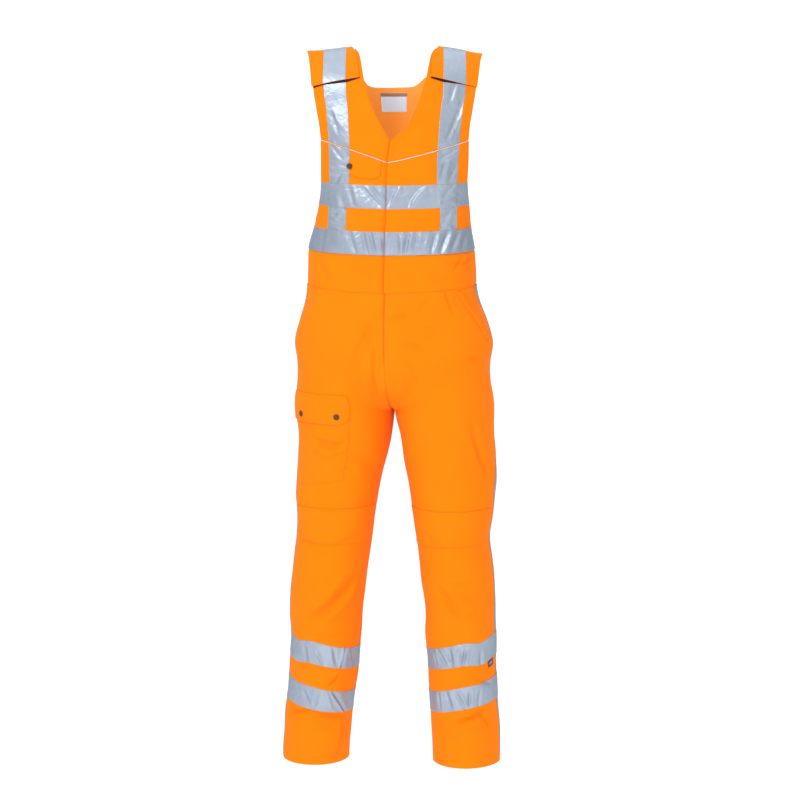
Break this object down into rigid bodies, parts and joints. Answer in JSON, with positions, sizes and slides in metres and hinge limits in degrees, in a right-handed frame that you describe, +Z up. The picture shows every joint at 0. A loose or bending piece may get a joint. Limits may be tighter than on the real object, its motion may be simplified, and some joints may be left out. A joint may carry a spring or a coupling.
{
  "type": "bib overalls",
  "caption": "High-visibility bib overalls with wide shoulder straps, reflective tapes, a flapped thigh pocket and knee patches, filled out as worn.",
  "frame": {"origin": "between the wearer's shoulders, level with the tops of the straps, where the wearer holds the garment up", "axes": "+Z up, the front of the garment faces -Y, +X is towards the wearer's left"},
  "size_m": [0.4822, 0.2788, 1.5568],
  "materials": {
    "fluorescent_twill": "fluorescent orange polyester-cotton twill, matt",
    "reflective_tape": "silver-grey glass-bead reflective tape, satin",
    "piping_cord": "pale corded piping, satin",
    "stud_brass": "antique brass, dark, worn on the rim",
    "label_satin": "pale satin ribbon, blank",
    "tag_weave": "maroon woven tab, blank"
  },
  "bodies": {
    "root": {"back_bodice": "fluorescent_twill", "back_leg_l": "fluorescent_twill", "back_leg_r": "fluorescent_twill", "bib_front_l": "fluorescent_twill", "bib_front_r": "fluorescent_twill", "brace_tape_back_l": "reflective_tape", "brace_tape_back_r": "reflective_tape", "brace_tape_bib_l": "reflective_tape", "brace_tape_bib_r": "reflective_tape", "brace_tape_yoke_l": "reflective_tape", "brace_tape_yoke_r": "reflective_tape", "chest_pocket_flap": "fluorescent_twill", "chest_tape_back": "reflective_tape", "chest_tape_l": "reflective_tape", "chest_tape_r": "reflective_tape", "front_leg_l": "fluorescent_twill", "front_leg_r": "fluorescent_twill", "front_yoke_l": "fluorescent_twill", "front_yoke_r": "fluorescent_twill", "hip_pocket_edge_l": "fluorescent_twill", "hip_pocket_edge_r": "fluorescent_twill", "knee_patch_l": "fluorescent_twill", "knee_patch_r": "fluorescent_twill", "leg_tag": "tag_weave", "neck_label": "label_satin", "piping_l": "piping_cord", "piping_r": "piping_cord", "shin_tape_lower_l": "reflective_tape", "shin_tape_lower_r": "reflective_tape", "shin_tape_upper_l": "reflective_tape", "shin_tape_upper_r": "reflective_tape", "shoulder_strap_l": "fluorescent_twill", "shoulder_strap_r": "fluorescent_twill", "side_tape_l": "reflective_tape", "side_tape_r": "reflective_tape", "snap_chest": "stud_brass", "snap_thigh_front": "stud_brass", "snap_thigh_rear": "stud_brass", "strap_tape_l": "reflective_tape", "strap_tape_r": "reflective_tape", "thigh_pocket": "fluorescent_twill", "thigh_pocket_flap": "fluorescent_twill", "waist_tape_back": "reflective_tape", "waist_tape_l": "reflective_tape", "waist_tape_r": "reflective_tape", "waistband_back": "fluorescent_twill", "waistband_front_l": "fluorescent_twill", "waistband_front_r": "fluorescent_twill"}
  },
  "joints": []
}
